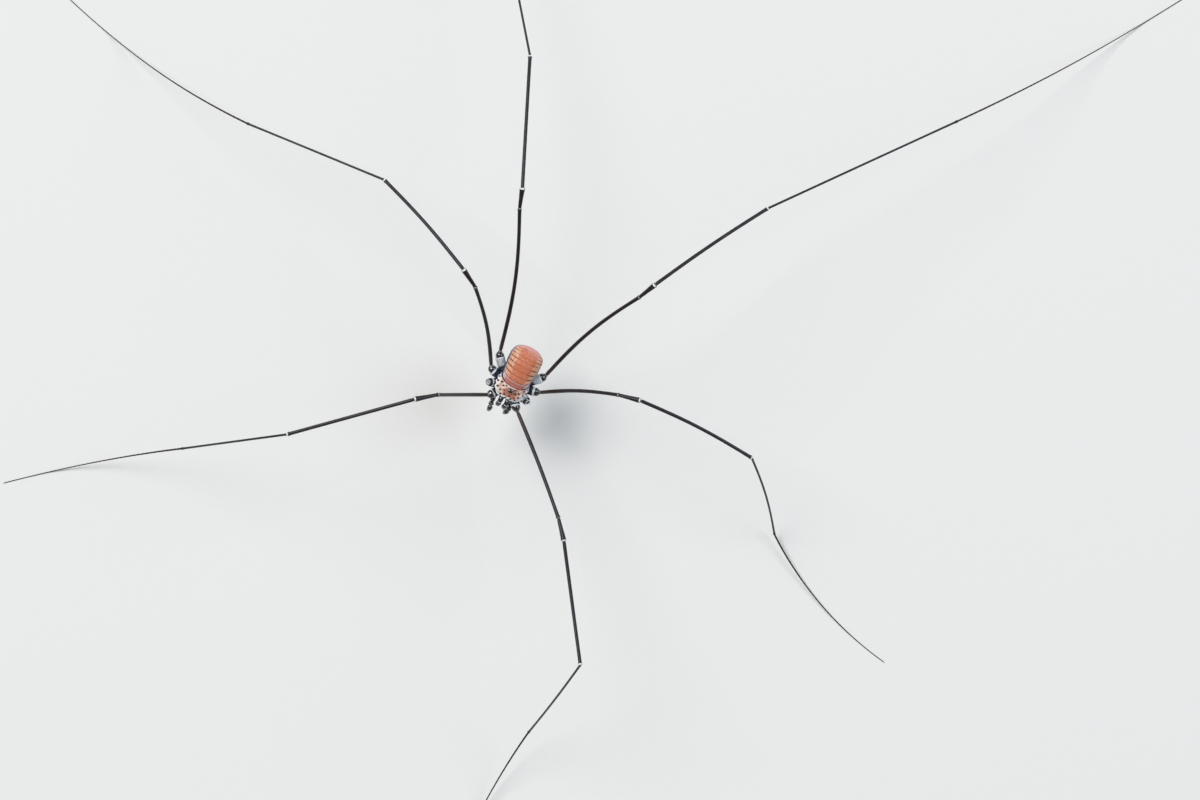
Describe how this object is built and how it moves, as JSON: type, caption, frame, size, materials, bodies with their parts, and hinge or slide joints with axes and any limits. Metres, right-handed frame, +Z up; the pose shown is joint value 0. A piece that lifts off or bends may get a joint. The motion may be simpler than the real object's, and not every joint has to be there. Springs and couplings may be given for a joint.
{
  "type": "harvestman",
  "caption": "Still life-size harvestman standing on long thin legs, with a small oval body, an eye mound and both legs of its second pair shed.",
  "frame": {"origin": "on the floor under the middle of the outline of the whole animal, legs included", "axes": "+Z up from the floor, -Y the way the head points, +X the animal's left side"},
  "size_m": [0.0738, 0.0828, 0.015],
  "materials": {
    "shield": "cream pink skin with dark brown dots",
    "abdomen": "orange skin, satin, with dark lines between its plates",
    "black_shell": "glossy black shell",
    "leg": "dark brown shell, satin",
    "tarsus": "grey brown, finely haired",
    "jaw": "dark blue-black shell with pale joints"
  },
  "bodies": {
    "root": {"front_body": "shield", "abdomen": "abdomen", "eye_mound": "black_shell", "eye_left": "black_shell", "chelicera_left": "jaw", "pedipalp_left_femur": "jaw", "pedipalp_left_tibia": "jaw", "pedipalp_left_tarsus": "jaw", "eye_right": "black_shell", "chelicera_right": "jaw", "pedipalp_right_femur": "jaw", "pedipalp_right_tibia": "jaw", "pedipalp_right_tarsus": "jaw", "trochanter_left_1": "black_shell", "trochanter_right_1": "black_shell", "trochanter_left_3": "black_shell", "trochanter_right_3": "black_shell", "trochanter_left_4": "black_shell", "trochanter_right_4": "black_shell", "trochanter_left_2": "black_shell", "trochanter_right_2": "black_shell", "femur_left_1": "leg", "patella_left_1": "leg", "tibia_left_1": "leg", "metatarsus_left_1": "leg", "tarsus_left_1": "tarsus", "femur_right_1": "leg", "patella_right_1": "leg", "tibia_right_1": "leg", "metatarsus_right_1": "leg", "tarsus_right_1": "tarsus", "femur_left_3": "leg", "patella_left_3": "leg", "tibia_left_3": "leg", "metatarsus_left_3": "leg", "tarsus_left_3": "tarsus", "femur_right_3": "leg", "patella_right_3": "leg", "tibia_right_3": "leg", "metatarsus_right_3": "leg", "tarsus_right_3": "tarsus", "femur_left_4": "leg", "patella_left_4": "leg", "tibia_left_4": "leg", "metatarsus_left_4": "leg", "tarsus_left_4": "tarsus", "femur_right_4": "leg", "patella_right_4": "leg", "tibia_right_4": "leg", "metatarsus_right_4": "leg", "tarsus_right_4": "tarsus"}
  },
  "joints": []
}
